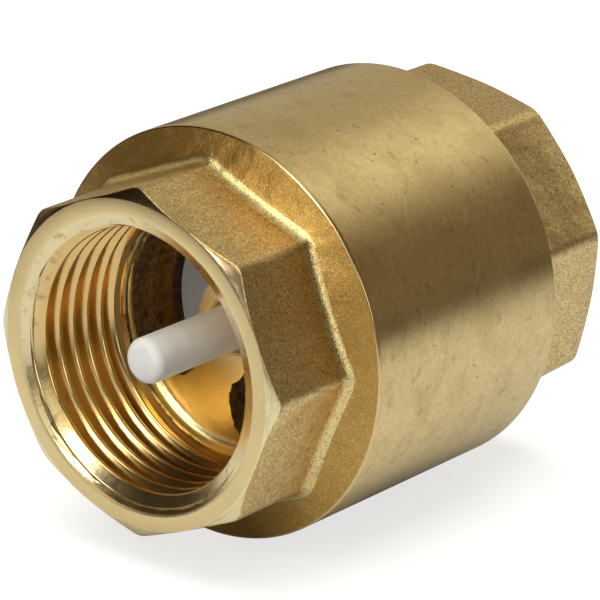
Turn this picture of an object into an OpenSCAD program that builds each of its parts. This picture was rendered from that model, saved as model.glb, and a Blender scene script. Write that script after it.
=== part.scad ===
// Spring-loaded in-line check valve with female pipe threads at both ends.
// The flow runs along +X, from the inlet at -X to the outlet at +X. Z is up.
// The origin is on the flow axis, midway between the two end faces. All sizes are in millimetres.

/* [Overall] */
// Length over the two end faces
overall_length = 59; // [57:0.5:62]
// Diameter of the turned drum
drum_d = 48; // [47:0.5:50]
// Length of the turned drum
drum_length = 32.4; // [32:0.1:34]

/* [Wrench ends] */
// Distance across the flats of the inlet octagon
inlet_across_flats = 38.2; // [37:0.1:39]
// Distance across the flats of the outlet octagon
outlet_across_flats = 39.4; // [37:0.1:40]
// Turn of the inlet octagon about the flow axis
inlet_octagon_turn = 0; // [0:1:44]
// Turn of the outlet octagon about the flow axis
outlet_octagon_turn = 32; // [0:1:44]

/* [Pipe ports] */
// Crest diameter of the female pipe thread
port_crest_d = 30.291; // [30:0.001:30.6]
// Mouth diameter of the lead-in chamfer
port_mouth_d = 34.6; // [34:0.1:35.6]
// Depth of each port from its end face to the guide bridge
port_depth = 16.8; // [16:0.1:17.5]

/* [Guide bridges] */
// Diameter of the hub that guides the stem
hub_d = 10.6; // [10:0.1:11]
// Diameter of the hole through the hub
hub_hole_d = 6.6; // [6:0.1:6.8]
// Angle that each water way covers, between the centres of its round ends
window_sweep = 88; // [70:1:100]
// Turn of the two arms about the flow axis
arm_turn = 112; // [0:1:179]
// Thickness of the inlet bridge along the flow
inlet_bridge_t = 4.4; // [4:0.1:4.6]
// Thickness of the outlet bridge along the flow
outlet_bridge_t = 3.2; // [2.8:0.1:3.6]

/* [Seat and chamber] */
// Diameter of the opening inside the seat
seat_bore_d = 26.4; // [26:0.1:27]
// Diameter of the chamber round the poppet
chamber_d = 41; // [40.6:0.1:41.2]

/* [Poppet] */
// Diameter of both guide stems
stem_d = 5.3; // [5:0.1:5.6]
// Distance that the inlet stem's tip stays inside the inlet's end face
stem_inset = 1.2; // [0.5:0.1:3]
// Travel of the poppet from closed to fully open
lift = 7; // [6:0.1:7]
// Diameter of the sealing ring
seal_d = 32; // [31:0.1:33]
// Thickness of the sealing ring
seal_t = 2; // [1.8:0.1:2]

/* [Spring] */
// Diameter of the spring wire
wire_d = 0.9; // [0.7:0.05:0.9]
// Mean diameter of the coil
coil_d = 14; // [13.6:0.1:14.4]
// Turns that work, between the closed end turns
working_turns = 3.5; // [3:0.5:4]

/* [Hidden] */

$fn = 96;
fit_gap = 0.05;                                 // clearance between parts that screw or slide together
running = 0.02;                                 // gap between parts that only touch
over = 1;                                       // how far a cutter runs past the face it cuts
half_length = overall_length / 2;
half_drum = drum_length / 2;
drum_r = drum_d / 2;
inlet_corner_r = inlet_across_flats / 2 / cos(22.5);    // radius to the inlet octagon's corners
outlet_corner_r = outlet_across_flats / 2 / cos(22.5);  // radius to the outlet octagon's corners
face_inset = 0.1;                               // from the middle of a flat in to the end chamfer
chamfer_run = tan(30);                          // length of the end chamfer for each unit of radius
shoulder_rise = 1.2;                            // how far the forged shoulder leans towards the octagon
edge = 0.4;                                     // small turned edge chamfers
port_r = port_crest_d / 2;
mouth_r = port_mouth_d / 2;

bridge_x = half_length - port_depth;            // outer face of each bridge, measured from the origin
inlet_bridge_in = -bridge_x + inlet_bridge_t;   // chamber side of the inlet bridge
outlet_bridge_in = bridge_x - outlet_bridge_t;  // chamber side of the outlet bridge
seat_r = seat_bore_d / 2;
seat_land = 1.4;                                // radial width of the raised seat
seat_x = inlet_bridge_in + 2;                   // top of the raised seat
floor_drop = 2.5;                               // how far the chamber floor falls away from the seat
chamber_r = chamber_d / 2;

pilot_r = chamber_r + 0.4;                      // smooth bore that the O-ring seals against
screw_r = pilot_r + 0.7;                        // screwed joint between cap and drum
flange_r = screw_r + 1.2;                       // cap flange that sits in the drum's counterbore
pilot_x = 7.2;
screw_x = 10.6;
flange_x = half_drum - 2.2;
spigot_x = pilot_x + 1;                         // end of the cap's spigot
spigot_wall = 2.6;
groove_x = [spigot_x + 0.5, spigot_x + 2.1];    // O-ring groove, from and to
o_ring_t = 1.5;
groove_r = pilot_r - o_ring_t + 0.15;           // bottom of the groove

seal_x = seat_x + running;                      // upstream face of the sealing ring when shut
disc_r = seat_r - 0.6;                          // front flange of the poppet, inside the seat
disc_t = 1.1;
post_r = 11;                                    // part of the poppet that the sealing ring slips over
socket_r = 4;                                   // blind socket that the retainer's post snaps into
socket_depth = 1.7;
retainer_x = seal_x + seal_t;
retainer_t = 1.5;
retainer_r = seal_d / 2 - 0.4;
stem_r = stem_d / 2;
tip_r = 1.1;                                    // rounding of the stem tips
hub_nose = 2;                                   // how far the outlet hub stands into the chamber
boss_r = 4.4;                                   // stop boss on the retainer
boss_end = outlet_bridge_in - hub_nose - lift - fit_gap;
spring_x = [retainer_x + retainer_t + running, outlet_bridge_in - running];

// Carries a shape drawn about local Z onto the flow axis: local Z becomes X, local X becomes Y.
module along_x() {
    rotate([90, 0, 90]) children();
}

// Solid of revolution about the flow axis. Points are [radius, x].
module turned(points) {
    along_x() rotate_extrude() polygon(points);
}

// Round bar about the flow axis from x0 to x1.
module bar(r, x0, x1) {
    translate([x0, 0, 0]) along_x() cylinder(r = r, h = x1 - x0);
}

// Points of a quarter round from angle a0 to a1, about [cr, cx] with radius r.
function arc(cr, cx, r, a0, a1, steps = 6) =
    [for (i = [0:steps]) let (a = a0 + (a1 - a0) * i / steps) [cr + r * cos(a), cx + r * sin(a)]];

// Octagon with its turned 30 degree end chamfer. The end face is at +X, and root is where it joins the drum.
module octagon_end(root, turn, corner_r) {
    face_r = corner_r * cos(22.5) - face_inset;
    chamfer_x = half_length - (corner_r - face_r) * chamfer_run;
    intersection() {
        translate([root, 0, 0]) rotate([turn, 0, 0]) along_x()
            cylinder(r = corner_r, h = half_length - root, $fn = 8);
        turned([[0, root], [corner_r + over, root],
            [corner_r + over, chamfer_x - over * chamfer_run], [face_r, half_length], [0, half_length]]);
    }
}

// Bore of one port, with its 45 degree lead-in, for an end face at +X.
module port_bore() {
    turned([[0, bridge_x], [port_r, bridge_x], [port_r, half_length - (mouth_r - port_r)],
        [mouth_r + over, half_length + over], [0, half_length + over]]);
}

// Water ways on both sides of a two-armed guide bridge, between x0 and x1.
module bridge_windows(x0, x1) {
    translate([x0, 0, 0]) rotate([arm_turn + 90, 0, 0]) along_x()
        linear_extrude(x1 - x0)
            for (side = [0, 180]) rotate(side)
                kidney(hub_d / 2, port_r - 0.35, window_sweep);
}

// Kidney-shaped slot between two radii, with round ends whose centres lie sweep degrees apart.
module kidney(inner, outer, sweep) {
    middle = (inner + outer) / 2;
    end_r = (outer - inner) / 2 + 0.15;
    side_y = 2 * outer * sin(sweep / 2);
    side_x = 2 * outer * cos(sweep / 2);
    intersection() {
        difference() {
            circle(r = outer);
            circle(r = inner);
        }
        union() {
            for (side = [-1, 1]) rotate(side * sweep / 2) translate([middle, 0]) circle(r = end_r);
            polygon([[0, 0], [side_x, -side_y], [side_x, side_y]]);
        }
    }
}

// Forged inlet body: octagon, port, guide bridge, seat and drum in one piece.
module inlet_body() {
    seat_back = seat_x - 0.6;
    color("darkgoldenrod") difference() {
        union() {
            mirror([1, 0, 0]) octagon_end(0, inlet_octagon_turn, inlet_corner_r);
            turned([[0, -half_drum - shoulder_rise], [inlet_corner_r - 0.4, -half_drum - shoulder_rise],
                [drum_r - 0.15, -half_drum], [drum_r, -half_drum + 0.15],
                [drum_r, half_drum - edge], [drum_r - edge, half_drum], [0, half_drum]]);
        }
        mirror([1, 0, 0]) port_bore();
        bridge_windows(-bridge_x - over, inlet_bridge_in + 0.3);
        bar(hub_hole_d / 2, -bridge_x - over, 0);
        turned(concat([[0, inlet_bridge_in], [seat_r, inlet_bridge_in], [seat_r, seat_x - 0.4]],
            [[seat_r + 0.4, seat_x], [seat_r + seat_land, seat_x], [seat_r + seat_land, seat_back]],
            [[seat_r + seat_land + 1.8, seat_back], [chamber_r - 1, seat_back - floor_drop]],
            arc(chamber_r - 1, seat_back - floor_drop + 1, 1, -80, 0),
            [[chamber_r, pilot_x], [pilot_r, pilot_x], [pilot_r, screw_x], [screw_r, screw_x],
            [screw_r, flange_x], [flange_r, flange_x], [flange_r, half_drum + over],
            [0, half_drum + over]]));
    }
}

// Forged outlet cap: octagon, port, guide bridge and the spigot that screws into the drum.
module outlet_cap() {
    color("goldenrod") difference() {
        union() {
            octagon_end(half_drum - 1, outlet_octagon_turn, outlet_corner_r);
            turned([[0, outlet_bridge_in], [chamber_r - spigot_wall, outlet_bridge_in],
                [chamber_r - spigot_wall + 1, spigot_x], [pilot_r - fit_gap - edge, spigot_x],
                [pilot_r - fit_gap, spigot_x + edge], [pilot_r - fit_gap, screw_x + fit_gap],
                [screw_r - fit_gap, screw_x + fit_gap + edge], [screw_r - fit_gap, flange_x + fit_gap],
                [flange_r - fit_gap, flange_x + fit_gap], [flange_r - fit_gap, half_drum - 0.3],
                [flange_r - fit_gap - 0.3, half_drum], [0, half_drum]]);
            bar(hub_d / 2 - 0.4, outlet_bridge_in - hub_nose, outlet_bridge_in + over);
        }
        port_bore();
        bridge_windows(outlet_bridge_in - over, bridge_x + over);
        bar(hub_hole_d / 2, 0, bridge_x + over);
        turned([[groove_r, groove_x[0]], [pilot_r + over, groove_x[0]],
            [pilot_r + over, groove_x[1]], [groove_r, groove_x[1]]]);
    }
}

// O-ring squeezed between the cap's groove and the drum's pilot bore.
module cap_o_ring() {
    inner = groove_r + running;
    color("black") along_x() rotate_extrude() intersection() {
        translate([(inner + pilot_r - running) / 2, (groove_x[0] + groove_x[1]) / 2])
            circle(r = o_ring_t / 2, $fn = 48);
        translate([inner, groove_x[0]]) square([pilot_r - running - inner, groove_x[1] - groove_x[0]]);
    }
}

// Front half of the poppet: inlet stem, flange inside the seat, and the post that holds the sealing ring.
module poppet() {
    tip_x = -half_length + stem_inset;
    front_x = seal_x - disc_t;
    color("white") turned(concat([[0, tip_x]],
        arc(stem_r - tip_r, tip_x + tip_r, tip_r, -90, 0),
        [[stem_r, front_x], [disc_r - 0.3, front_x], [disc_r, front_x + 0.3], [disc_r, seal_x],
        [post_r, seal_x], [post_r, retainer_x], [socket_r, retainer_x],
        [socket_r, retainer_x - socket_depth], [0, retainer_x - socket_depth]]));
}

// Flat rubber ring clamped between the two halves of the poppet.
module sealing_ring() {
    bore_r = post_r + running;
    outer_r = seal_d / 2;
    color("dimgray") turned([[bore_r, seal_x], [outer_r - 0.2, seal_x], [outer_r, seal_x + 0.2],
        [outer_r, seal_x + seal_t - 0.2], [outer_r - 0.2, seal_x + seal_t], [bore_r, seal_x + seal_t]]);
}

// Rear half of the poppet: backing plate, snap post, stop boss and outlet stem.
module ring_retainer() {
    plate_end = retainer_x + retainer_t;
    tip_x = bridge_x - 1.2;
    color("ivory") turned(concat([[0, retainer_x - socket_depth + 0.1]],
        [[socket_r - 0.4, retainer_x - socket_depth + 0.1], [socket_r - running, retainer_x - 1]],
        [[socket_r - running, retainer_x], [retainer_r, retainer_x], [retainer_r, plate_end - 0.4]],
        [[retainer_r - 0.4, plate_end], [boss_r, plate_end], [boss_r, boss_end], [stem_r, boss_end]],
        arc(stem_r - tip_r, tip_x - tip_r, tip_r, 0, 90),
        [[0, tip_x]]));
}

// Height along the coil after t turns: the end turns lie closed, and the pitch is even between them.
function coil_x(t, total, from, to) =
    t < 1 ? from + wire_d * t
    : t > total - 1 ? to - wire_d * (total - t)
    : from + wire_d + (to - from - 2 * wire_d) * (t - 1) / (total - 2);

// Helical compression spring, as one swept wire.
module closing_spring() {
    sides = 8;
    steps = 24;
    total = working_turns + 2;
    count = total * steps;
    from = spring_x[0] + wire_d / 2;
    to = spring_x[1] - wire_d / 2;
    points = [for (i = [0:count]) let (t = i / steps, a = 360 * t, x = coil_x(t, total, from, to))
        for (j = [0:sides - 1]) let (b = 360 * (j + 0.5) / sides, r = coil_d / 2 + wire_d / 2 * cos(b))
            [x + wire_d / 2 * sin(b), r * cos(a), r * sin(a)]];
    skin = [for (i = [0:count - 1], j = [0:sides - 1]) let (k = (j + 1) % sides)
        [i * sides + j, i * sides + k, (i + 1) * sides + k, (i + 1) * sides + j]];
    ends = [[for (j = [sides - 1:-1:0]) j], [for (j = [0:sides - 1]) count * sides + j]];
    color("silver") polyhedron(points = points, faces = concat(skin, ends));
}

inlet_body();
outlet_cap();
cap_o_ring();
poppet();
sealing_ring();
ring_retainer();
closing_spring();
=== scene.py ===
"""Visual model of a spring-loaded brass check valve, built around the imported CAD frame.

The flow axis is X, from the inlet at -X to the outlet at +X. Sizes in the mesh code are in
millimetres, and each piece is scaled to metres when it is made.
"""

import math

import bmesh
import bpy
import numpy as np
from mathutils import Matrix, Vector
from mathutils.geometry import delaunay_2d_cdt


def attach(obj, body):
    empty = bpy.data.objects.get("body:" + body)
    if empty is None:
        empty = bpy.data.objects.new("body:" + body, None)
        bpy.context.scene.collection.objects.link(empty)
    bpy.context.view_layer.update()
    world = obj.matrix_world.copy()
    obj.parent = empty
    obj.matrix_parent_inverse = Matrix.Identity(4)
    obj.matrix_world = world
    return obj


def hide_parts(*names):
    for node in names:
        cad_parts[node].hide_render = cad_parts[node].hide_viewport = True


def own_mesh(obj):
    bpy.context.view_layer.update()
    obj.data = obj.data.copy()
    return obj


MM = 0.001
TAU = 2 * math.pi
# Vertices closer than this, in metres, become one.
MERGE = 2e-7
# Edges that turn by more than this, in degrees, are shaded as sharp.
SHARP_ANGLE = 38

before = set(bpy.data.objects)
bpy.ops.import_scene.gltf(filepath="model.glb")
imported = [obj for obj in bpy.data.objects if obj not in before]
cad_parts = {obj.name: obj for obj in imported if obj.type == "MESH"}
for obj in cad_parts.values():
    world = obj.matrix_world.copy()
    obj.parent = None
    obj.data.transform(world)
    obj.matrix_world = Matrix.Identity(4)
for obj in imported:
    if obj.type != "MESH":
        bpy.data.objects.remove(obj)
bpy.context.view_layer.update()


# ---------------------------------------------------------------- mesh building

class Shell:
    """Vertices and faces of one piece, in millimetres, gathered sheet by sheet and merged at the end."""

    def __init__(self):
        self.points, self.faces, self.finishes, self.count = [], [], [], 0

    def add(self, points):
        """Adds loose vertices and returns the number of the first."""
        start = self.count
        self.points.append(np.asarray(points, float).reshape(-1, 3))
        self.count += len(self.points[-1])
        return start

    def sheet(self, grid, finish, closed=True):
        """Quads between the rows of a (rows, columns, 3) grid.

        finish is one slot, or a list with one slot for each gap between rows.
        """
        rows, columns = grid.shape[:2]
        start = self.add(grid)
        across = np.arange(columns if closed else columns - 1)
        ahead = (across + 1) % columns
        for row in range(rows - 1):
            low, high = start + row * columns, start + (row + 1) * columns
            quads = np.stack([low + across, low + ahead, high + ahead, high + across], 1)
            self.faces += quads.tolist()
            slot = finish if isinstance(finish, int) else finish[row]
            self.finishes += [slot] * len(across)

    def revolve(self, angles, path, finish):
        """Sheet round the flow axis. path is a list of (x, r), where each may be an array over the angles."""
        ones = np.ones(len(angles))
        grid = [np.stack([x * ones, r * np.cos(angles), r * np.sin(angles)], 1) for x, r in path]
        self.sheet(np.array(grid), finish)

    def zip_rings(self, x, angles_a, r_a, angles_b, r_b, finish):
        """Triangles on a plane between two circles whose vertices stand at different angles."""
        a = self.add(ring_points(x, angles_a, r_a))
        b = self.add(ring_points(x, angles_b, r_b))
        turns_a = np.append(angles_a, angles_a[0] + TAU)
        turns_b = np.append(angles_b, angles_b[0] + TAU)
        i = j = 0
        while i < len(angles_a) or j < len(angles_b):
            first, second = a + i % len(angles_a), b + j % len(angles_b)
            if j == len(angles_b) or (i < len(angles_a) and turns_a[i + 1] <= turns_b[j + 1]):
                i += 1
                self.faces.append([first, a + i % len(angles_a), second])
            else:
                j += 1
                self.faces.append([first, b + j % len(angles_b), second])
            self.finishes.append(finish)

    def plane(self, x, loops, finish_at, extra=()):
        """Flat triangles at x inside closed (y, z) loops. Returns the (y, z) of every vertex.

        finish_at(y, z) gives a slot, or None for a hole. extra holds more points inside the loops.
        """
        points, edges = [], []
        for loop in loops:
            start = len(points)
            points += [Vector(p) for p in loop]
            edges += [(start + k, start + (k + 1) % len(loop)) for k in range(len(loop))]
        points += [Vector(p) for p in extra]
        out, _, faces, *_ = delaunay_2d_cdt(points, edges, [], 0, 1e-6)
        start = self.add([(x, p[0], p[1]) for p in out])
        for face in faces:
            y, z = np.mean([out[k] for k in face], axis=0)
            slot = finish_at(y, z)
            if slot is not None:
                self.faces.append([start + k for k in face])
                self.finishes.append(slot)
        return np.array([(p[0], p[1]) for p in out])

    def build(self, name, materials, body, replaced):
        """Makes the Blender object, riding on a CAD body in place of a CAD node."""
        mesh = bpy.data.meshes.new(name)
        mesh.from_pydata((np.concatenate(self.points) * MM).tolist(), [], self.faces)
        mesh.polygons.foreach_set("material_index", self.finishes)
        work = bmesh.new()
        work.from_mesh(mesh)
        bmesh.ops.remove_doubles(work, verts=work.verts, dist=MERGE)
        bmesh.ops.dissolve_degenerate(work, edges=work.edges, dist=MERGE / 2)
        bmesh.ops.recalc_face_normals(work, faces=work.faces)
        loose = [v for v in work.verts if not v.link_faces]
        bmesh.ops.delete(work, geom=loose, context="VERTS")
        work.to_mesh(mesh)
        work.free()
        for material in materials:
            mesh.materials.append(material)
        mesh.shade_smooth()
        mesh.set_sharp_from_angle(angle=math.radians(SHARP_ANGLE))
        piece = bpy.data.objects.new(name, mesh)
        bpy.context.scene.collection.objects.link(piece)
        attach(piece, body)
        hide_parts(replaced)
        return piece


def ring_points(x, angles, r):
    """(x, y, z) points of a circle round the flow axis."""
    return np.stack([np.full(len(angles), x), r * np.cos(angles), r * np.sin(angles)], 1)


def circle(r, count):
    """(y, z) points of a circle."""
    angles = even_angles(count)
    return np.stack([r * np.cos(angles), r * np.sin(angles)], 1)


def even_angles(count):
    """Angles of count even steps round a full turn, in radians."""
    return np.arange(count) * TAU / count


def arc(cx, cr, radius, start, end, steps):
    """(x, r) points of a rounding. An angle of 0 degrees points outwards, and 90 degrees towards +X."""
    turns = np.radians(np.linspace(start, end, steps + 1))
    return [(cx + radius * math.sin(t), cr + radius * math.cos(t)) for t in turns]


def wander(seed, waves):
    """A smooth periodic random function of a turn in radians, of size about 1.

    It sums sine waves, with the given number of waves in a full turn.
    """
    draw = np.random.default_rng(seed)
    phase = draw.uniform(0, TAU, len(waves))
    weight = draw.uniform(0.6, 1.0, len(waves)) / np.array(waves) ** 0.6
    weight /= np.sqrt((weight ** 2).sum() / 2)
    return lambda turn: sum(w * np.sin(k * turn + p) for w, k, p in zip(weight, waves, phase))


# ---------------------------------------------------------------- sizes, in millimetres

HALF_LENGTH = 29.5
HALF_DRUM = 16.2
DRUM_R = 24.0
# Each octagon's distance from axis to flat, corner radius, and fillet radius at the shoulder.
INLET_OCTAGON = (19.1, 2.1, 1.75)
OUTLET_OCTAGON = (19.7, 2.2, 1.2)
# How much an octagon's corner radius grows for each millimetre that its fillet rises.
CORNER_GROWTH = 2.4
CHAMFER_SLOPE = math.tan(math.radians(30))
SHOULDER_SLOPE = math.tan(math.radians(18.5))
# Radius on an end face where the port's even columns meet the octagon's columns.
END_FACE_R = 17.95
MOUTH_R = 17.3
MOUTH_RIM = 0.25
# How much the port's lead-in cone narrows for each millimetre of depth.
LEAD_IN = 1.8
# Depth of the guide bridge's face in its port.
BRIDGE_DEPTH = 16.8
PITCH = 2.309
CREST_R = 15.1455
ROOT_R = 16.62
THREAD_ROUND = 0.317
# Depths between which the thread runs out.
THREAD_FADE = (12.4, 15.2)
FLOOR_R = 15.1
# Rounding between the bridge's face and the port's wall.
ARM_FILLET = 1.5
HOLE_R = 3.3
HOLE_RIM = 0.25
# How far the water ways widen away from the port.
FLARE = 0.8
SEAT_R = 13.2
LEDGE_X = -8.15
CAP_BACK_X = 9.5
SEAT_LIP_X = -6.3
# Radii on the plane where the drum ends: the outlet forging's flange, the drum's bore and its face.
FLANGE_R = 22.35
DRUM_BORE_R = 22.9
DRUM_FACE_R = 23.3
PORT_COLUMNS = 384
HOLE_COLUMNS = 96
FILLET_STEPS = 10
BORE_COLUMNS = 180
INLET_TURN = 0.0
OUTLET_TURN = math.radians(32)
ARM_TURN = math.radians(112)


# ---------------------------------------------------------------- brass bodies

def octagon_angles(turn):
    """Angles round the axis, closer together at the eight corners."""
    corner_end, side_middle = 2.4, 22.5
    steps = [np.arange(0, corner_end, 0.3), np.linspace(corner_end, side_middle, 26)]
    side = np.radians(np.concatenate(steps))
    half = np.concatenate([side, TAU / 8 - side[-2:0:-1]])
    return np.sort(np.concatenate([half + turn + k * TAU / 8 for k in range(8)]) % TAU)


def octagon_r(angles, turn, apothem, corner):
    """Radius of an octagon with rounded corners, for each angle round the axis."""
    eighth = TAU / 16
    off = np.abs((angles - turn + eighth) % (2 * eighth) - eighth)
    centre = (apothem - corner) / math.cos(eighth)
    tangent = eighth - math.atan((apothem - corner) * math.tan(eighth) / apothem)
    rounded = centre * np.cos(off) + np.sqrt(np.maximum(corner ** 2 - (centre * np.sin(off)) ** 2, 0))
    return np.where(off < tangent, rounded, apothem / np.cos(eighth - off))


def shoulder_depth(r):
    """Depth from the end face to the forged shoulder, which leans towards the octagon."""
    return HALF_LENGTH - HALF_DRUM - (DRUM_R - 0.15 - r) * SHOULDER_SLOPE


def wrench_end(angles, turn, apothem, corner, fillet):
    """(depth, r) rows from the end face, over the octagon and the fillet, to the shoulder's start.

    Returns the rows, their finishes and the radius where the shoulder starts.
    """
    flat = octagon_r(angles, turn, apothem, corner)
    # The face meets the chamfer in a narrow worn edge, just inside the flats.
    rim = 0.06
    face_r = apothem - 0.07
    path = [(0.0, END_FACE_R), (0.0, face_r - rim), (rim * 0.35, face_r + rim * 0.8)]
    finish = [FACE, TURNED]
    chamfer_end = (flat - face_r) * CHAMFER_SLOPE
    # The chamfer's outer edge is eased, more so where the chamfer is wide.
    ease = np.minimum(0.14, (flat - face_r) * 0.4)
    path += [(chamfer_end - ease * CHAMFER_SLOPE, flat - ease),
             (chamfer_end + ease * 0.15, flat - ease * 0.22),
             (chamfer_end + ease * 0.9, flat)]
    finish += [TURNED, FORGED, FORGED]
    # The fillet turns from the flats, which run along the axis, to the leaning shoulder.
    swing = TAU / 4 - math.atan(SHOULDER_SLOPE)
    lift = fillet * (1 - math.cos(swing))
    end_r = octagon_r(angles, turn, apothem + lift, corner + CORNER_GROWTH * lift)
    start = shoulder_depth(end_r) - fillet * math.sin(swing)
    flat_start = chamfer_end + 0.2
    for share in (0.35, 0.7):
        path.append((flat_start + (start - flat_start) * share, flat))
        finish.append(FORGED)
    for step in range(FILLET_STEPS + 1):
        alpha = swing * step / FILLET_STEPS
        rise = fillet * (1 - math.cos(alpha))
        r = octagon_r(angles, turn, apothem + rise, corner + CORNER_GROWTH * rise)
        path.append((start + fillet * math.sin(alpha), r))
        # The fillet rows take the painted-highlight copy of the forged finish, and the shoulder rows the
        # painted-shade copy.
        finish.append(FORGED if step < 2 else FILLET if step < 9 else SHOULDER)
    return path, finish, end_r


def thread_profile():
    """(distance along one pitch, r) of the female thread: 27.5 degree flanks with round crests and roots."""
    steps = np.radians(np.linspace(0, 62.5, 6))
    along, rise = THREAD_ROUND * np.sin(steps), THREAD_ROUND * (1 - np.cos(steps))
    crest = list(zip(along, CREST_R + rise))
    root = list(zip(PITCH / 2 - along, ROOT_R - rise))[::-1]
    (crest_u, crest_r), (root_u, root_r) = crest[-1], root[0]
    flank = [(crest_u + (root_u - crest_u) * k / 3, crest_r + (root_r - crest_r) * k / 3)
             for k in (1, 2)]
    half = crest + flank + root
    return half + [(PITCH - u, r) for u, r in half[-2:0:-1]]


def port(shell, side):
    """Lead-in, helical thread and relief of one port, down to the rim of the bridge's face.

    side is -1 for the inlet and 1 for the outlet.
    """
    profile = thread_profile()
    pitches = 9
    along = np.array([u + PITCH * (k - 1) for k in range(pitches) for u, _ in profile])
    radii = np.array([r for _ in range(pitches) for _, r in profile])
    turns = np.arange(PORT_COLUMNS + 1) * TAU / PORT_COLUMNS
    advance = PITCH * turns / TAU * -side
    depth = along[:, None] + advance[None, :] + (PITCH if side > 0 else 0)
    unevenness = wander(31 + side, [3, 5, 8, 13, 21, 34])
    r = np.broadcast_to(radii[:, None], depth.shape)
    r = r + 0.006 * unevenness(turns)[None, :]
    # Rows of the helix that lie outside the port are gathered on its first and last circle.
    first, last = 0.12, BRIDGE_DEPTH - ARM_FILLET
    depth = np.clip(depth, first, last)
    r = np.maximum(r, MOUTH_R - depth * LEAD_IN)
    fade = np.clip((THREAD_FADE[1] - depth) / (THREAD_FADE[1] - THREAD_FADE[0]), 0, 1)
    r = CREST_R + (r - CREST_R) * fade
    r = np.where(depth >= last, FLOOR_R, r)
    x = side * (HALF_LENGTH - depth)
    grid = np.stack([x, r * np.cos(turns), r * np.sin(turns)], 2)
    shell.sheet(grid, THREAD, closed=False)
    even = even_angles(PORT_COLUMNS)
    rim = [(0.0, MOUTH_R + MOUTH_RIM), (0.015, MOUTH_R + 0.1), (0.05, MOUTH_R),
           (first, MOUTH_R - first * LEAD_IN)]
    shell.revolve(even, [(side * (HALF_LENGTH - d), r) for d, r in rim], FACE)


def dished(r):
    """How far the bridge's face rises towards the port's wall at radius r, as the rounding between them."""
    reach = np.clip(np.asarray(r) - (FLOOR_R - ARM_FILLET), 0, ARM_FILLET)
    return ARM_FILLET - np.sqrt(ARM_FILLET ** 2 - reach ** 2)


def kidney(centre):
    """(y, z) outline of one water way, its outward normals and the turn along it.

    An outer and an inner arc round the axis are joined by a half circle at each end.
    """
    inner, outer, sweep = 5.35, 14.7, math.radians(44)
    middle, cap = (inner + outer) / 2, (outer - inner) / 2
    end_y, end_z = middle * math.cos(sweep), middle * math.sin(sweep)
    upper = [(end_y + cap * math.cos(sweep + t), end_z + cap * math.sin(sweep + t))
             for t in np.linspace(0, math.pi, 56)]
    lower = [(y, -z) for y, z in upper[::-1]]
    loop = [(outer * math.cos(t), outer * math.sin(t)) for t in np.linspace(-sweep, sweep, 90)[1:-1]]
    loop += upper
    loop += [(inner * math.cos(t), inner * math.sin(t)) for t in np.linspace(sweep, -sweep, 36)[1:-1]]
    loop += lower
    loop = np.array(loop)
    ahead, behind = np.roll(loop, -1, 0), np.roll(loop, 1, 0)
    tangent = ahead - behind
    normal = np.stack([tangent[:, 1], -tangent[:, 0]], 1) / np.linalg.norm(tangent, axis=1)[:, None]
    rotation = np.array([[math.cos(centre), math.sin(centre)], [-math.sin(centre), math.cos(centre)]])
    return loop @ rotation, normal @ rotation, even_angles(len(loop))


def cast_wall(shell, centre, seed, front_x, back_x):
    """Rough wall of one water way, centred on an angle round the axis, between two planes.

    The edge is jagged, and the wall widens towards back_x. Returns the outline on each plane.
    """
    outline, normal, turn = kidney(centre)
    draw = np.random.default_rng(seed)
    low = wander(seed, [2, 3, 5, 7])
    mid = wander(seed + 1, [11, 17, 23, 31])
    fine = wander(seed + 2, [47, 61, 83, 101])
    # The wall is smoother where it comes close to the port's machined wall.
    smooth = np.clip((np.linalg.norm(outline, axis=1) - 13.9) / 0.7, 0, 1)
    rows = 12
    grid, loops = [], []
    grain = draw.normal(0, 1, (rows + 1, len(outline)))
    grain = (grain + np.roll(grain, 1, 1)) / 2
    for row in range(rows + 1):
        share = row / rows
        x = front_x + (back_x - front_x) * share ** 0.8
        push = 0.15 * low(turn + 0.5 * share) + 0.11 * mid(turn - 0.3 * share)
        push = push + 0.05 * fine(turn + 0.2 * share)
        push = push + 0.035 * grain[row] - 0.12 * math.sin(math.pi * min(share * 3, 1)) ** 2
        push = np.minimum(push, 0.3) * (1 - 0.85 * smooth) + FLARE * max(0, share - 0.45) / 0.55
        place = outline + normal * push[:, None]
        rise = dished(np.linalg.norm(place, axis=1)) * (1 - share) * math.copysign(1, front_x)
        grid.append(np.stack([x + rise, place[:, 0], place[:, 1]], 1))
        if row in (0, rows):
            loops.append(place)
    shell.sheet(np.array(grid), CAST)
    return loops


def inside(loop, y, z):
    """True if (y, z) is inside the closed loop."""
    y0, z0 = loop[:, 0], loop[:, 1]
    y1, z1 = np.roll(y0, -1), np.roll(z0, -1)
    crosses = (z0 > z) != (z1 > z)
    at = (y1 - y0) * (z - z0) / np.where(z1 == z0, 1, z1 - z0) + y0
    return bool(np.count_nonzero(crosses & (y < at)) % 2)


def bridge_face(shell, x, loops):
    """Machined face of a guide bridge, between the port's wall, the water ways and the hub's hole."""

    def finish_at(y, z):
        r = math.hypot(y, z)
        if r > FLOOR_R or r < HOLE_R + HOLE_RIM or any(inside(loop, y, z) for loop in loops):
            return None
        return BRIDGE

    rings = FLOOR_R - ARM_FILLET * (1 - np.sin(np.linspace(0, TAU / 4, 9)[:-1]))
    extra = [point for r in rings for point in circle(r, PORT_COLUMNS)
             if min(np.linalg.norm(loop - point, axis=1).min() for loop in loops) > 0.2]
    edges = [circle(FLOOR_R, PORT_COLUMNS), circle(HOLE_R + HOLE_RIM, HOLE_COLUMNS)]
    shell.plane(x, edges + loops, finish_at, extra)
    face = shell.points[-1]
    face[:, 0] += dished(np.linalg.norm(face[:, 1:], axis=1)) * math.copysign(1, x)


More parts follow.
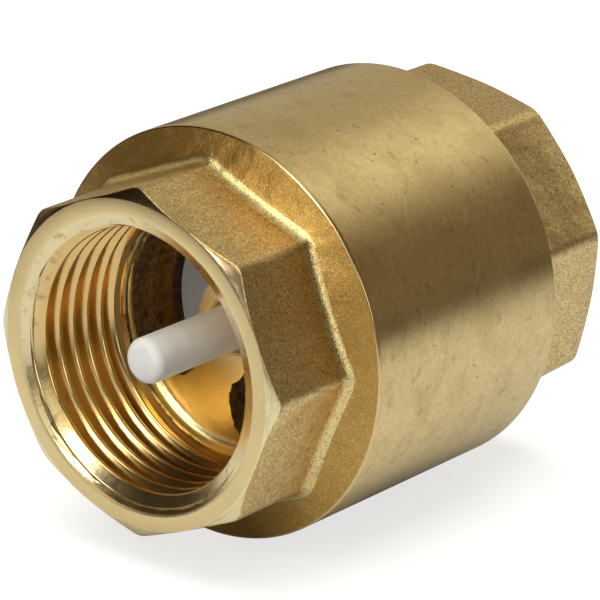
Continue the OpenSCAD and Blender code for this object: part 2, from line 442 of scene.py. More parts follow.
def water_ways(shell, front_x, back_x, seed):
    """Both water ways of a bridge, on either side of its arm, and its front face.

    Returns their outlines on the back plane.
    """
    fronts, backs = [], []
    for number, centre in enumerate((ARM_TURN + TAU / 4, ARM_TURN - TAU / 4)):
        front, back = cast_wall(shell, centre, seed + 10 * number, front_x, back_x)
        fronts.append(front)
        backs.append(back)
    bridge_face(shell, front_x, fronts)
    return backs


def inlet_body():
    """Forged octagon, port, guide bridge, seat and turned drum, in one piece."""
    shell = Shell()
    angles = octagon_angles(INLET_TURN)
    path, finish, end_r = wrench_end(angles, INLET_TURN, *INLET_OCTAGON)
    edge = DRUM_R - 0.2
    for share in (0.3, 0.6, 0.85, 1.0):
        r = end_r + (edge - end_r) * share
        path.append((shoulder_depth(r), r))
        finish.append(SHOULDER)
    depth = shoulder_depth(edge)
    path += [(depth + 0.04, DRUM_R - 0.07), (depth + 0.13, DRUM_R)]
    finish += [EDGE, EDGE]
    drum_end = HALF_LENGTH + HALF_DRUM
    for d in np.linspace(depth + 0.6, drum_end - 0.5, 9):
        path.append((d, DRUM_R))
        finish.append(DRUM)
    path += [(drum_end - 0.4, DRUM_R), (drum_end - 0.34, DRUM_R - 0.03),
             (drum_end - 0.03, DRUM_R - 0.37), (drum_end, DRUM_R - 0.45), (drum_end, DRUM_FACE_R)]
    finish += [DRUM, EDGE, DRUM, EDGE, FACE]
    shell.revolve(angles, [(d - HALF_LENGTH, r) for d, r in path], finish)
    mouth = even_angles(PORT_COLUMNS)
    shell.zip_rings(-HALF_LENGTH, mouth, MOUTH_R + MOUTH_RIM, angles, END_FACE_R, FACE)
    port(shell, -1)

    front_x = -HALF_LENGTH + BRIDGE_DEPTH
    backs = water_ways(shell, front_x, LEDGE_X, 7)
    hole = even_angles(HOLE_COLUMNS)
    guide = [(front_x, HOLE_R + HOLE_RIM), (front_x + HOLE_RIM, HOLE_R), (LEDGE_X, HOLE_R)]
    shell.revolve(hole, guide, BRIDGE)

    def back_finish(y, z):
        r = math.hypot(y, z)
        water_way = any(inside(loop, y, z) for loop in backs)
        ledge = r > SEAT_R - 0.01 and water_way
        arm = HOLE_R < r < SEAT_R - 0.004 and not water_way
        return BRIDGE if ledge or arm else None

    edges = [circle(SEAT_R, BORE_COLUMNS), circle(HOLE_R, HOLE_COLUMNS)]
    flat = shell.plane(LEDGE_X, edges + backs, back_finish)
    # The seat's bore takes its columns from the ledge's rim, where the water ways cut across it.
    rim = flat[np.abs(np.linalg.norm(flat, axis=1) - SEAT_R) < 0.006]
    turns = np.arctan2(rim[:, 1], rim[:, 0]) % TAU
    order = np.argsort(turns)
    inner = turns[order]
    ledge_rim = np.column_stack([np.full(len(rim), LEDGE_X), rim[order]])
    shell.sheet(np.stack([ledge_rim, ring_points(LEDGE_X + 0.02, inner, SEAT_R)]), CAST)
    seat = [(LEDGE_X + 0.02, SEAT_R), (-6.7, SEAT_R), (-6.36, SEAT_R + 0.3), (SEAT_LIP_X, SEAT_R + 0.45),
            (SEAT_LIP_X, 14.5), (-6.4, 14.6), (-6.9, 14.62), (-6.9, 16.4)]
    chamber = [(-9.3, 19.3), (-9.25, 20.1), (-8.6, 20.5), (7.2, 20.5), (7.25, 20.9)]
    cap_bore = [(10.6, 20.9), (10.65, 21.6), (14.0, 21.6), (14.0, 22.8), (16.08, 22.8),
                (HALF_DRUM, DRUM_BORE_R)]
    path = seat + chamber + cap_bore
    shell.revolve(inner, path, [CAST] + [FACE] * (len(path) - 2))
    shell.zip_rings(HALF_DRUM, inner, DRUM_BORE_R, angles, DRUM_FACE_R, FACE)
    return shell.build("inlet_forging", brass_set("body", 0.0), "valve_body", "inlet_body")


def outlet_cap():
    """Forged octagon, port, guide bridge and the spigot that screws into the drum."""
    shell = Shell()
    angles = octagon_angles(OUTLET_TURN)
    path, finish, end_r = wrench_end(angles, OUTLET_TURN, *OUTLET_OCTAGON)
    start = shoulder_depth(end_r)
    for share in (0.5, 1.0):
        depth = start + (HALF_LENGTH - HALF_DRUM - start) * share
        path.append((depth, end_r + (FLANGE_R - end_r) * share))
        finish.append(TURNED)
    shell.revolve(angles, [(HALF_LENGTH - d, r) for d, r in path], finish)
    mouth = even_angles(PORT_COLUMNS)
    shell.zip_rings(HALF_LENGTH, mouth, MOUTH_R + MOUTH_RIM, angles, END_FACE_R, FACE)
    port(shell, 1)

    front_x = HALF_LENGTH - BRIDGE_DEPTH
    backs = water_ways(shell, front_x, CAP_BACK_X, 57)
    nose_r, cavity_r = 4.9, 17.4
    hole = even_angles(HOLE_COLUMNS)
    guide = [(front_x, HOLE_R + HOLE_RIM), (front_x - HOLE_RIM, HOLE_R), (7.75, HOLE_R),
             (7.5, HOLE_R + 0.2), (7.5, nose_r - 0.3), (7.65, nose_r), (CAP_BACK_X, nose_r)]
    shell.revolve(hole, guide, BRIDGE)

    def back_finish(y, z):
        r = math.hypot(y, z)
        water_way = any(inside(loop, y, z) for loop in backs)
        return FACE if nose_r < r < cavity_r and not water_way else None

    edges = [circle(cavity_r, BORE_COLUMNS), circle(nose_r, HOLE_COLUMNS)]
    shell.plane(CAP_BACK_X, edges + backs, back_finish)
    inner = even_angles(BORE_COLUMNS)
    nose = [(CAP_BACK_X, cavity_r), (9.35, 17.8), (8.3, 18.8), (8.2, 18.95), (8.2, 20.45), (8.6, 20.85)]
    groove = [(8.7, 20.85), (8.7, 19.55), (10.3, 19.55), (10.3, 20.85)]
    threaded = [(10.65, 20.85), (11.05, 21.55), (14.05, 21.55)]
    flange = [(14.05, 22.75), (15.9, 22.75), (HALF_DRUM, 22.45), (HALF_DRUM, FLANGE_R + 0.05)]
    shell.revolve(inner, nose + groove + threaded + flange, FACE)
    shell.zip_rings(HALF_DRUM, inner, FLANGE_R + 0.05, angles, FLANGE_R, TURNED)
    return shell.build("outlet_forging", brass_set("cap", 3.0), "valve_body", "outlet_cap")


# ---------------------------------------------------------------- inner parts

SEAL_X = -6.28
SEAL_BACK = -4.28
PLATE_BACK = -2.78
STEM_R = 2.65
TIP_SOFT = 1.15
PARTING_TURN = math.radians(70)


def mould_ridge(angles, height):
    """Radius added by the faint parting lines on two opposite sides of a moulding."""
    off = np.abs((angles - PARTING_TURN + TAU / 4) % (TAU / 2) - TAU / 4)
    return height * np.exp(-(off * STEM_R / 0.09) ** 2)


def stem_angles():
    """Angles round a stem, closer together at its two parting lines."""
    fine = PARTING_TURN + np.radians(np.arange(-6, 6.1, 0.75))
    return np.unique(np.round(np.concatenate([even_angles(120), fine, fine + math.pi]) % TAU, 5))


def poppet():
    """Front half of the poppet, with the inlet stem and the flange inside the seat."""
    shell = Shell()
    angles = stem_angles()
    ridge = mould_ridge(angles, 0.02)
    tip = -28.3
    path = [(tip, 0.0), (tip + 0.02, 0.8)]
    path += [(x, r + ridge * min(k / 4, 1)) for k, (x, r) in
             enumerate(arc(tip + 0.07 + TIP_SOFT, STEM_R - TIP_SOFT, TIP_SOFT, -86, 0, 11))]
    front = SEAL_X - 1.1
    path += [(x, STEM_R + ridge) for x in np.linspace(tip + 2, front - 1.3, 8)]
    path += [(front - 1.0 + math.sin(t), STEM_R + 1.0 - math.cos(t)) for t in np.linspace(0.15, TAU / 4, 6)]
    path += [(front, 7.0), (front, 12.2), (front + 0.08, 12.45), (front + 0.3, 12.6), (SEAL_X, 12.6),
             (SEAL_X, 11.0), (SEAL_BACK, 11.0), (SEAL_BACK, 4.0), (SEAL_BACK - 1.7, 4.0),
             (SEAL_BACK - 1.7, 0.0)]
    shell.revolve(angles, path, 0)
    return shell.build("poppet_front", [white_plastic()], "moving_poppet", "poppet")


def retainer():
    """Rear half of the poppet: backing plate, snap post, stop boss and outlet stem."""
    shell = Shell()
    angles = stem_angles()
    tip = 11.5
    post = [(SEAL_BACK - 1.6, 0.0), (SEAL_BACK - 1.6, 3.6), (SEAL_BACK - 1.0, 3.98), (SEAL_BACK, 3.98)]
    plate = [(SEAL_BACK, 15.5), (SEAL_BACK + 0.1, 15.6), (PLATE_BACK - 0.4, 15.6)]
    plate += arc(PLATE_BACK - 0.4, 15.2, 0.4, 20, 90, 4)
    boss = [(PLATE_BACK, 4.9), (PLATE_BACK + 0.15, 4.55), (PLATE_BACK + 0.5, 4.4), (0.25, 4.4),
            (0.45, 4.2), (0.45, 3.1), (0.6, 2.75), (0.9, STEM_R)]
    path = post + plate + boss
    path += [(x, STEM_R) for x in np.linspace(2, tip - 1.6, 5)]
    path += arc(tip - 0.05 - TIP_SOFT, STEM_R - TIP_SOFT, TIP_SOFT, 0, 88, 9)
    path += [(tip - 0.01, 0.9), (tip, 0.0)]
    shell.revolve(angles, path, 0)
    return shell.build("poppet_rear", [rear_plastic()], "moving_poppet", "ring_retainer")


def sealing_ring():
    """Flat rubber seal with rounded outer edges, clamped between the halves of the poppet."""
    shell = Shell()
    low, high, hole, outer, soft = SEAL_X, SEAL_BACK, 11.02, 16.0, 0.25
    path = [(low, hole), (low, outer - 0.3)] + arc(low + soft, outer - soft, soft, -80, 0, 4)
    path += arc(high - soft, outer - soft, soft, 0, 80, 4) + [(high, outer - 0.3), (high, hole), (low, hole)]
    shell.revolve(even_angles(BORE_COLUMNS), path, 0)
    look = rubber("seal_rubber_look", 0.06)
    return shell.build("flat_seal", [look], "moving_poppet", "sealing_ring")


def o_ring():
    """O-ring squeezed flat where it meets the groove and the bore."""
    shell = Shell()
    cx, bottom, top, section_r = 9.5, 19.57, 20.88, 0.75
    cr = (bottom + top) / 2
    path = []
    for t in np.linspace(0, TAU, 41):
        x, r = cx + section_r * math.sin(t), cr + section_r * math.cos(t)
        path.append((x, min(max(r, bottom), top)))
    shell.revolve(even_angles(BORE_COLUMNS), path, 0)
    look = rubber("o_ring_look", 0.03)
    return shell.build("squeezed_o_ring", [look], "valve_body", "cap_o_ring")


def spring():
    """Compression spring with closed end turns, swept as one wire with ground-off ends."""
    wire, mean, working, gap = 0.9, 7.0, 3.5, 0.02
    start, end = PLATE_BACK + gap + wire / 2, CAP_BACK_X - gap - wire / 2
    total = working + 2
    steps_per_turn = 72
    turns = np.linspace(0, total, int(total * steps_per_turn) + 1)
    free = end - start - 2 * wire
    x = np.where(turns < 1, start + wire * turns, start + wire + free * (turns - 1) / working)
    x = np.where(turns > total - 1, end - wire * (total - turns), x)
    spread = 6
    window = np.ones(2 * spread + 1) / (2 * spread + 1)
    x = np.convolve(np.pad(x, spread, mode="edge"), window, mode="valid")
    x[0], x[-1] = start, end
    x = np.clip(x, start, end)
    shell = Shell()
    around = even_angles(20)
    grid = []
    for turn, at in zip(turns * TAU, x):
        r = mean + wire / 2 * np.cos(around)
        grid.append(np.stack([at + wire / 2 * np.sin(around), r * math.cos(turn), r * math.sin(turn)], 1))
    shell.sheet(np.array(grid), 0)
    for row in (grid[0], grid[-1]):
        hub = shell.add([row.mean(0)])
        rim = shell.add(row)
        shell.faces += [[hub, rim + k, rim + (k + 1) % len(around)] for k in range(len(around))]
        shell.finishes += [0] * len(around)
    piece = shell.build("coil_spring", [spring_steel()], "valve_body", "closing_spring")
    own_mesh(piece)
    return piece


# ---------------------------------------------------------------- materials

FACE, TURNED, FORGED, THREAD, BRIDGE, CAST, DRUM, EDGE, FILLET, SHOULDER = range(10)
BRASS = (0.86, 0.68, 0.34)


def shaded(colour, *factors):
    """The colour with its three channels multiplied by one factor, or by three."""
    return tuple(min(1, c * k) for c, k in zip(colour, factors if len(factors) == 3 else factors * 3))


class Paint:
    """A procedural material. Sockets may be given numbers, colours or other nodes' outputs."""

    def __init__(self, name):
        self.material = bpy.data.materials.new(name)
        self.material.use_nodes = True
        self.tree = self.material.node_tree
        self.shader = next(n for n in self.tree.nodes if n.type == "BSDF_PRINCIPLED")

    def put(self, socket, value):
        """Links a node's output to the socket, or sets the socket to a number or a colour."""
        if isinstance(value, bpy.types.NodeSocket):
            self.tree.links.new(value, socket)
        elif isinstance(value, tuple) and len(value) == 3 and socket.type == "RGBA":
            socket.default_value = (*value, 1)
        else:
            socket.default_value = value

    def set(self, **values):
        """Sets the shader's inputs, each named in lower case with underscores."""
        for name, value in values.items():
            self.put(self.shader.inputs[name.replace("_", " ").title().replace("Ior", "IOR")], value)

    def node(self, kind, inputs=(), **settings):
        """A new node, with its inputs by name or number and its settings by name."""
        made = self.tree.nodes.new(kind)
        for name, value in settings.items():
            setattr(made, name, value)
        for key, value in dict(inputs).items():
            self.put(made.inputs[key], value)
        return made

    def math(self, operation, a, b=0.0, clamp=False):
        """The result of one arithmetic step."""
        return self.node("ShaderNodeMath", {0: a, 1: b}, operation=operation, use_clamp=clamp).outputs[0]

    def place(self):
        """Object coordinates in millimetres."""
        coords = self.node("ShaderNodeTexCoord").outputs["Object"]
        return self.node("ShaderNodeVectorMath", {0: coords, "Scale": 1000.0}, operation="SCALE").outputs[0]

    def round_axis(self, place):
        """(x, turn about X as an arc at 20 mm, radius) of a place, in millimetres."""
        parts = self.node("ShaderNodeSeparateXYZ", {0: place}).outputs
        turn = self.math("MULTIPLY", self.math("ARCTAN2", parts[2], parts[1]), 20.0)
        squares = [self.math("MULTIPLY", part, part) for part in (parts[1], parts[2])]
        return parts[0], turn, self.math("SQRT", self.math("ADD", *squares))

    def vector(self, x, y, z):
        return self.node("ShaderNodeCombineXYZ", {0: x, 1: y, 2: z}).outputs[0]

    def noise(self, place, scale, detail=2.0, rough=0.5):
        inputs = {"Vector": place, "Scale": scale, "Detail": detail, "Roughness": rough}
        return self.node("ShaderNodeTexNoise", inputs).outputs["Fac"]

    def remap(self, value, low, high, to_low, to_high):
        """The value moved from the range low..high to to_low..to_high, and held inside it."""
        return self.node("ShaderNodeMapRange", {0: value, 1: low, 2: high, 3: to_low, 4: to_high}).outputs[0]

    def mix(self, share, a, b):
        """The colour a where share is 0, and b where it is 1."""
        made = self.node("ShaderNodeMix", data_type="RGBA")
        self.put(made.inputs[0], share)
        self.put(made.inputs[6], a)
        self.put(made.inputs[7], b)
        return made.outputs[2]

    def bump(self, height, distance):
        """Stacks another bump, with its distance in millimetres, on whatever the shader already has."""
        made = self.node("ShaderNodeBump", {"Height": height, "Distance": distance * MM, "Strength": 1.0})
        if self.shader.inputs["Normal"].links:
            self.put(made.inputs["Normal"], self.shader.inputs["Normal"].links[0].from_socket)
        self.put(self.shader.inputs["Normal"], made.outputs[0])

    def tangent(self):
        """Points the anisotropy round the flow axis, along the tool marks of a lathe."""
        made = self.node("ShaderNodeTangent", direction_type="RADIAL", axis="X")
        self.put(self.shader.inputs["Tangent"], made.outputs[0])


def forged_brass(name, seed, dark, light, glint, roughness):
    """Sandblasted forging: fine grain with bright specks as painted glints, and dark pits, over low, slow
    dents.
    """
    paint = Paint(name)
    place = paint.place()
    shifted = paint.node("ShaderNodeVectorMath", {0: place, 1: (seed, 0, 0)}, operation="ADD").outputs[0]
    grain = paint.noise(shifted, 5.0, 4.0, 0.7)
    pits = paint.node("ShaderNodeTexVoronoi", {"Vector": shifted, "Scale": 3.4}).outputs["Distance"]
    stain_and_painted_shade = paint.noise(shifted, 0.16, 3.0, 0.6)
    paint.bump(grain, 0.035)
    paint.bump(pits, 0.012)
    paint.bump(paint.noise(shifted, 0.25), 0.25)
    speck = paint.node("ShaderNodeTexVoronoi", {"Vector": shifted, "Scale": 5.0}).outputs["Color"]
    speck = paint.node("ShaderNodeSeparateColor", {0: speck}).outputs[0]
    colour = paint.mix(paint.remap(grain, 0.38, 0.62, 0.0, 1.0), dark, light)
    colour = paint.mix(paint.remap(stain_and_painted_shade, 0.4, 0.7, 0.0, 0.45), colour, dark)
    # Painted highlight: bright specks of colour as painted glints. glint also sets the strength of the dark
    # pits on the next line.
    colour = paint.mix(paint.remap(speck, 0.84, 0.96, 0.0, glint), colour, (1.0, 0.86, 0.42))
    colour = paint.mix(paint.remap(speck, 0.2, 0.05, 0.0, glint * 0.7), colour, (0.26, 0.15, 0.05))
    paint.set(base_color=colour, metallic=1.0,
              roughness=paint.remap(grain, 0.3, 0.7, roughness + 0.06, roughness - 0.06))
    return paint.material


def used_port(paint, tint, x, turn, mouth):
    """Adds a bright lead-in with grime on it, and painted shade that darkens the lowest part of the thread
    deep in the port.
    """
    depth = paint.math("ABSOLUTE", x)
    tint = paint.mix(paint.remap(depth, 27.6, 28.5, 0.0, 1.0), tint, mouth)
    grime = paint.noise(paint.vector(depth, paint.math("MULTIPLY", turn, 0.4), 3.0), 1.1, 4.0, 0.7)
    near_mouth = paint.remap(depth, 25.5, 27.5, 0.0, 1.0)
    grime = paint.math("MULTIPLY", paint.remap(grime, 0.55, 0.68, 0.0, 0.5), near_mouth)
    tint = paint.mix(grime, tint, (0.24, 0.15, 0.07))
    # Painted shade: darker brown along the lowest part of the thread, deep in the port.
    from_bottom = paint.math("ABSOLUTE", paint.math("ADD", turn, 30.5))
    shade_below = paint.math("MULTIPLY", paint.remap(from_bottom, 4.0, 8.0, 1.0, 0.0),
                       paint.remap(depth, 26.0, 21.0, 0.0, 0.7))
    return paint.mix(shade_below, tint, (0.42, 0.22, 0.06))


def handled(paint, tint, place, x, turn, r, dull, strength):
    """Adds smears, patches, blots, specks and scratches. Returns the tint and where the smears are."""
    smear = paint.vector(paint.math("MULTIPLY", x, 0.5), paint.math("MULTIPLY", turn, 0.35), r)
    mask = paint.remap(paint.noise(smear, 0.75, 5.0, 0.72), 0.52, 0.72, 0.0, strength)
    tint = paint.mix(mask, tint, dull)
    patch = paint.remap(paint.noise(place, 0.16, 4.0, 0.6), 0.50, 0.66, 0.0, 0.5)
    tint = paint.mix(patch, tint, (0.62, 0.46, 0.21))
    blot = paint.remap(paint.noise(smear, 1.3, 4.0, 0.6), 0.62, 0.68, 0.0, 0.5)
    tint = paint.mix(blot, tint, (0.46, 0.31, 0.15))
    mottle = paint.remap(paint.noise(place, 1.7, 4.0, 0.75), 0.40, 0.62, 0.35, 0.0)
    tint = paint.mix(mottle, tint, (0.52, 0.38, 0.17))
    specks = paint.node("ShaderNodeTexVoronoi", {"Vector": place, "Scale": 0.55}).outputs["Distance"]
    dot = paint.remap(specks, 0.05, 0.08, 1.0, 0.0)
    tint = paint.mix(dot, tint, (0.25, 0.17, 0.09))
    along = paint.math("ADD", x, paint.math("MULTIPLY", turn, 0.7))
    across = paint.math("SUBTRACT", turn, paint.math("MULTIPLY", x, 0.7))
    slant = paint.vector(along, paint.math("MULTIPLY", across, 0.06), 7.0)
    scratch = paint.remap(paint.noise(slant, 2.2, 2.0, 0.6), 0.66, 0.72, 0.0, 0.4)
    tint = paint.mix(scratch, tint, (1.0, 0.86, 0.55))
    paint.bump(dot, -0.03)
    return tint, mask


def turned_brass(name, roughness, line, anisotropy, colour=BRASS, marks=0.0, lines_on_face=False, mouth=None):
    """Machined brass with fine tool lines round the axis.

    line scales the tool lines' depth. marks is the strength of the stains and scratches of handling,
    and mouth a brighter colour for the thread's lead-in.
    """
    paint = Paint(name)
    place = paint.place()
    x, turn, r = paint.round_axis(place)
    across = paint.math("MULTIPLY", r if lines_on_face else x, 9.0)
    lines = paint.noise(paint.vector(across, paint.math("MULTIPLY", turn, 0.03), 0.0), 1.0, 4.0, 0.7)
    slow = paint.noise(place, 0.12, 3.0, 0.6)
    fine = paint.noise(place, 2.0, 2.0, 0.6)
    paint.bump(lines, 0.006 * line)
    paint.bump(paint.noise(place, 3.0, 2.0, 0.5), 0.004 * line)
    tint = paint.mix(paint.remap(slow, 0.35, 0.7, 0.0, 0.35), colour, shaded(colour, 0.84, 0.80, 0.74))
    rough = paint.math("ADD", paint.remap(slow, 0.3, 0.7, roughness - 0.03, roughness + 0.05),
                       paint.remap(lines, 0.3, 0.7, -0.02, 0.02))
    if mouth:
        tint = used_port(paint, tint, x, turn, mouth)
    if marks:
        tint, mask = handled(paint, tint, place, x, turn, r, shaded(colour, 0.60, 0.53, 0.44), marks)
        rough = paint.math("ADD", rough, paint.math("MULTIPLY", mask, 0.12))
    tint = paint.mix(paint.remap(fine, 0.4, 0.6, 0.0, 0.12), tint, shaded(colour, 1.12))
    paint.set(base_color=tint, metallic=1.0, roughness=rough, anisotropic=anisotropy)
    paint.tangent()
    return paint.material


def chamfer_brass(name):
    """Turned chamfer, pale below and darker brown towards the upper side as painted shade, broken by streaks.
    """
    paint = Paint(name)
    place = paint.place()
    x, turn, _ = paint.round_axis(place)
    height = paint.node("ShaderNodeSeparateXYZ", {0: place}).outputs[2]
    drawn_out = paint.vector(paint.math("MULTIPLY", x, 4.0), paint.math("MULTIPLY", turn, 0.25), 0.0)
    streaks = paint.noise(drawn_out, 1.0, 4.0, 0.7)
    # Painted shade: the chamfer darkens with height towards its upper side.
    stain_and_painted_shade = paint.math("ADD", paint.remap(height, 2.0, 14.0, 0.0, 0.95),
                       paint.remap(streaks, 0.35, 0.65, -0.3, 0.3), clamp=True)
    tint = paint.mix(stain_and_painted_shade, (1.0, 0.88, 0.52), (0.27, 0.19, 0.11))
    paint.bump(streaks, 0.02)
    paint.set(base_color=tint, metallic=1.0, roughness=paint.remap(streaks, 0.3, 0.7, 0.16, 0.26))
    return paint.material


def cast_brass(name):
    """Rough brown casting skin of the water ways."""
    paint = Paint(name)
    place = paint.place()
    lump = paint.noise(place, 1.3, 5.0, 0.7)
    paint.bump(lump, 0.35)
    paint.bump(paint.noise(place, 5.0, 2.0), 0.08)
    colour = paint.mix(paint.remap(lump, 0.35, 0.65, 0.0, 1.0), (0.09, 0.045, 0.02), (0.34, 0.19, 0.08))
    paint.set(base_color=colour, metallic=1.0, roughness=paint.remap(lump, 0.3, 0.7, 0.62, 0.40))
    return paint.material


def brass_set(name, seed):
    """The finishes of one forging, in slot order."""
    return [
        turned_brass(name + "_face", 0.24, 1.6, 0.5, (0.92, 0.735, 0.38), lines_on_face=True),
        chamfer_brass(name + "_chamfer"),
        forged_brass(name + "_forged", seed, (0.60, 0.41, 0.17), (0.93, 0.72, 0.35), 0.8, 0.34),
        # The thread's redder colour is painted bounce light from the port's brass walls. Near the mouth it
        # turns paler.
        turned_brass(name + "_thread", 0.15, 1.5, 0.3, (0.90, 0.64, 0.27), mouth=(0.97, 0.83, 0.50)),
        # The bridge's brighter, more golden colour is painted bounce light from the thread walls.
        turned_brass(name + "_bridge", 0.20, 2.5, 0.3, (1.0, 0.85, 0.46), lines_on_face=True),
        cast_brass(name + "_cast"),
        turned_brass(name + "_drum", 0.19, 1.0, 0.6, marks=0.55),
        turned_brass(name + "_edge", 0.14, 0.4, 0.0),
        # Lit and shaded copies of the forged finish: the fillet's paler colours are a painted highlight, and
        # the shoulder's darker orange is painted shade and bounce light.
        forged_brass(name + "_fillet", seed, (0.78, 0.58, 0.24), (1.0, 0.86, 0.46), 0.8, 0.26),
        forged_brass(name + "_shoulder", seed, (0.50, 0.29, 0.08), (0.72, 0.47, 0.14), 0.2, 0.34),
    ]


def white_plastic():
    """Milky nylon: a painted glow at the stem's tip, painted brown bounce light from the brass round it, and
    painted grey shade in the seat.
    """
    paint = Paint("poppet_white")
    place = paint.place()
    haze = paint.noise(place, 0.5, 3.0)
    paint.bump(paint.noise(place, 4.0, 3.0, 0.6), 0.01)
    paint.bump(paint.noise(place, 0.5), 0.02)
    colour = paint.mix(paint.remap(haze, 0.3, 0.7, 0.0, 1.0), (0.68, 0.70, 0.71), (0.75, 0.77, 0.78))
    along = paint.node("ShaderNodeSeparateXYZ", {0: place}).outputs[0]
    # Painted bounce light: browner deeper in the port, from the brass round the stem.
    colour = paint.mix(paint.remap(along, -21.0, -11.0, 0.0, 1.0), colour, (0.84, 0.63, 0.35))
    # Painted shade: dark grey where the flange sits in the seat.
    colour = paint.mix(paint.remap(along, -9.5, -8.0, 0.0, 1.0), colour, (0.20, 0.21, 0.24))
    paint.set(base_color=colour, roughness=paint.remap(haze, 0.3, 0.7, 0.30, 0.42), subsurface_weight=0.6,
              subsurface_scale=0.004)
    paint.shader.inputs["Subsurface Radius"].default_value = (1.0, 0.95, 0.9)
    # Painted glow: a faint warm emission near the stem's tip, though the stem is no lamp.
    paint.set(emission_color=(1.0, 0.93, 0.80), emission_strength=paint.remap(along, -27.5, -23.0, 0.0, 0.09))
    return paint.material


def rear_plastic():
    """Plain milky nylon of the poppet's rear half."""
    paint = Paint("retainer_white")
    place = paint.place()
    haze = paint.noise(place, 0.5, 3.0)
    paint.bump(paint.noise(place, 4.0, 3.0, 0.6), 0.01)
    colour = paint.mix(paint.remap(haze, 0.3, 0.7, 0.0, 1.0), (0.78, 0.78, 0.76), (0.86, 0.865, 0.85))
    paint.set(base_color=colour, roughness=paint.remap(haze, 0.3, 0.7, 0.34, 0.46), subsurface_weight=0.35,
              subsurface_scale=0.0015)
    return paint.material


def rubber(name, value):
    """Black rubber of one grey value, with a little dust."""
    paint = Paint(name)
    place = paint.place()
    dust = paint.noise(place, 1.5, 4.0, 0.6)
    paint.bump(paint.noise(place, 6.0, 2.0), 0.01)
    colour = paint.mix(paint.remap(dust, 0.45, 0.75, 0.0, 0.5), (value, value, value), (value * 2.2,) * 3)
    paint.set(base_color=colour, roughness=paint.remap(dust, 0.3, 0.7, 0.5, 0.7))
    return paint.material


def spring_steel():
    """Drawn stainless wire."""
    paint = Paint("drawn_wire")
    place = paint.place()
    streak = paint.noise(place, 3.0, 3.0, 0.6)
    paint.bump(streak, 0.004)
    colour = paint.mix(paint.remap(streak, 0.3, 0.7, 0.0, 1.0), (0.50, 0.49, 0.47), (0.68, 0.67, 0.66))
    paint.set(base_color=colour, metallic=1.0, roughness=paint.remap(streak, 0.3, 0.7, 0.22, 0.34))
    return paint.material


# ---------------------------------------------------------------- stage

# Half sizes, in metres, of the painted shadow: a soft dark oval on the floor under the drum that the brass
# mirrors.
SHADOW_HALF_LENGTH = 0.030
SHADOW_HALF_WIDTH = 0.0145
# Colour of the surroundings where nothing else lights them.
AMBIENT = (0.035, 0.025, 0.015)
# Bright areas of the surroundings: direction, inner and outer half angle in degrees, and colour.
WORLD_LOBES = [
    ((0.60, 0.78, 0.15), 35, 62, (0.42, 0.385, 0.30)),
    ((0.73, -0.68, 0.12), 22, 62, (0.14, 0.11, 0.075)),
    ((-0.64, -0.74, 0.22), 7, 16, (2.4, 2.3, 2.0)),
    ((-0.70, -0.26, 0.66), 6, 17, (3.0, 2.6, 1.8)),
    ((-0.88, 0.44, 0.14), 3, 12, (0.8, 0.6, 0.35)),
    ((-0.915, 0.14, 0.37), 3, 9, (7.5, 7.7, 7.8)),
    ((-0.52, 0.10, 0.85), 8, 17, (2.8, 2.7, 2.4)),
]
# A bright band through the zenith along X: direction across it, how far it fades, and colour.
OVERHEAD_BAND = ((0, 0.991, 0.13), 0.46, (0.75, 0.73, 0.63))
CAMERA_PLACE = (-0.33955, -0.27940, 0.16013)
CAMERA_LENS = 244.4
CAMERA_ROLL = math.radians(0.62)


def floor():
    """Pale floor that the drum rests on. The camera sees it paler and more evenly lit than the brass does."""
    mesh = bpy.data.meshes.new("floor")
    size, z = 6.0, -DRUM_R * MM
    corners = [(-size, -size, z), (size, -size, z), (size, size, z), (-size, size, z)]
    mesh.from_pydata(corners, [], [(0, 1, 2, 3)])
    piece = bpy.data.objects.new("floor", mesh)
    bpy.context.scene.collection.objects.link(piece)
    paint = Paint("pale_floor")
    seen = paint.node("ShaderNodeLightPath").outputs["Is Camera Ray"]
    coords = paint.node("ShaderNodeTexCoord").outputs["Object"]
    away = paint.node("ShaderNodeVectorMath", {0: coords}, operation="LENGTH").outputs["Value"]
    near = paint.node("ShaderNodeMapRange", {0: away, 1: 0.32, 2: 0.08, 3: 0.0, 4: 1.0},
                      interpolation_type="SMOOTHSTEP").outputs[0]
    shadow = (1 / SHADOW_HALF_LENGTH, 1 / SHADOW_HALF_WIDTH, 0)
    under = paint.node("ShaderNodeVectorMath", {0: coords, 1: shadow}, operation="MULTIPLY").outputs[0]
    under = paint.node("ShaderNodeVectorMath", {0: under}, operation="LENGTH").outputs["Value"]
    # For rays other than the camera's, the floor's light and shade are painted: a glow that fades away from
    # the valve, painted brighter just beside the drum, and a painted shadow oval under it.
    lit = paint.math("MULTIPLY", near, paint.remap(under, 0.7, 1.3, 0.15, 1.0))
    beside = paint.remap(away, 0.026, 0.050, 1.0, 0.0)
    mirrored = paint.mix(lit, (0.06, 0.05, 0.035), (0.33, 0.335, 0.34))
    beside = paint.mix(beside, (0.14, 0.143, 0.147), (0.34, 0.32, 0.27))
    glow = paint.mix(lit, (0.02, 0.016, 0.012), beside)
    paint.set(base_color=paint.mix(seen, mirrored, (0.30, 0.30, 0.30)), roughness=0.9)
    paint.shader.inputs["Specular IOR Level"].default_value = 0.0
    paint.set(emission_color=paint.mix(seen, glow, (0.72, 0.72, 0.72)), emission_strength=1.0)
    mesh.materials.append(paint.material)


def floor_light():
    """Soft light straight above, which brightens the floor and isn't mirrored in the brass."""
    data = bpy.data.lights.new("floor_fill", "AREA")
    data.shape = "SQUARE"
    data.size = 1.0
    data.energy = 4.4 * math.pi
    lamp = bpy.data.objects.new("floor_fill", data)
    bpy.context.scene.collection.objects.link(lamp)
    lamp.location = (0.0, 0.0, 0.90)
    lamp.visible_glossy = False


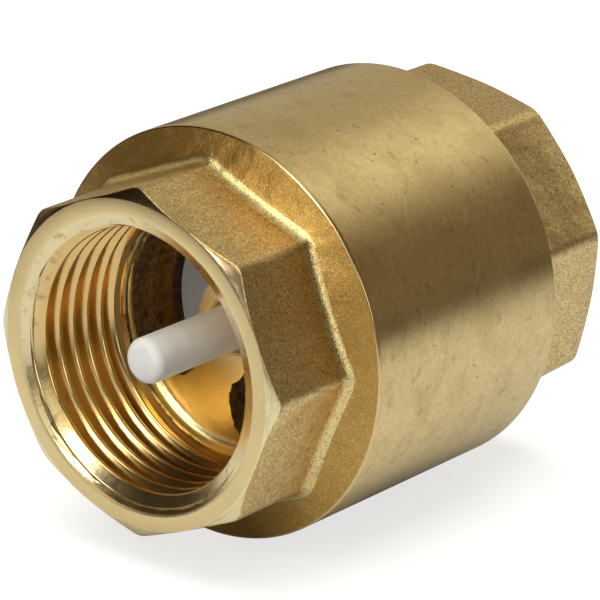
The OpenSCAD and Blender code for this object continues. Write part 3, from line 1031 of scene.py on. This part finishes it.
def studio():
    """Surroundings that the brass mirrors: soft bright lobes and a band overhead. The camera sees white."""
    scene = bpy.context.scene
    scene.view_settings.view_transform = "Standard"
    world = bpy.data.worlds.new("studio")
    world.use_nodes = True
    scene.world = world
    tree = world.node_tree
    tree.nodes.clear()

    def node(kind, inputs=(), **settings):
        made = tree.nodes.new(kind)
        for name, value in settings.items():
            setattr(made, name, value)
        for key, value in dict(inputs).items():
            if isinstance(value, bpy.types.NodeSocket):
                tree.links.new(value, made.inputs[key])
            else:
                made.inputs[key].default_value = value
        return made

    def add(share, colour):
        lobe = node("ShaderNodeVectorMath", {0: colour, "Scale": share}, operation="SCALE").outputs[0]
        return node("ShaderNodeVectorMath", {0: total, 1: lobe}, operation="ADD").outputs[0]

    def facing(aim):
        inputs = {0: way, 1: Vector(aim).normalized()}
        return node("ShaderNodeVectorMath", inputs, operation="DOT_PRODUCT").outputs["Value"]

    def fade(value, none, full):
        return node("ShaderNodeMapRange", {0: value, 1: none, 2: full, 3: 0.0, 4: 1.0},
                    interpolation_type="SMOOTHSTEP").outputs[0]

    way = node("ShaderNodeTexCoord").outputs["Generated"]
    total = (0, 0, 0)
    for aim, inner, outer, colour in WORLD_LOBES:
        full, none = math.cos(math.radians(inner)), math.cos(math.radians(outer))
        total = add(fade(facing(aim), none, full), colour)
    side, reach, colour = OVERHEAD_BAND
    off = node("ShaderNodeMath", {0: facing(side)}, operation="ABSOLUTE").outputs[0]
    total = add(fade(off, reach, 0.0), colour)
    total = node("ShaderNodeVectorMath", {0: total, 1: AMBIENT}, operation="ADD").outputs[0]
    lit = node("ShaderNodeBackground", {"Color": total, "Strength": 1.0}).outputs[0]
    white = node("ShaderNodeBackground", {"Color": (1, 1, 1, 1), "Strength": 1.0}).outputs[0]
    seen = node("ShaderNodeLightPath").outputs["Is Camera Ray"]
    mixed = node("ShaderNodeMixShader", {0: seen, 1: lit, 2: white}).outputs[0]
    node("ShaderNodeOutputWorld", {"Surface": mixed})


def camera():
    """Long-lens camera before the inlet, a little above it, looking at the middle of the drum."""
    data = bpy.data.cameras.new("camera")
    data.sensor_width = 36.0
    data.lens = CAMERA_LENS
    data.shift_x, data.shift_y = -0.0082, -0.0053
    data.clip_start, data.clip_end = 0.01, 50.0
    made = bpy.data.objects.new("camera", data)
    bpy.context.scene.collection.objects.link(made)
    place = Vector(CAMERA_PLACE)
    look = (-place).to_track_quat("-Z", "Y")
    roll = Matrix.Rotation(CAMERA_ROLL, 4, "Z")
    made.matrix_world = Matrix.Translation(place) @ look.to_matrix().to_4x4() @ roll
    bpy.context.scene.camera = made


inlet_body()
outlet_cap()
o_ring()
poppet()
sealing_ring()
retainer()
spring()
floor()
studio()
floor_light()
camera()
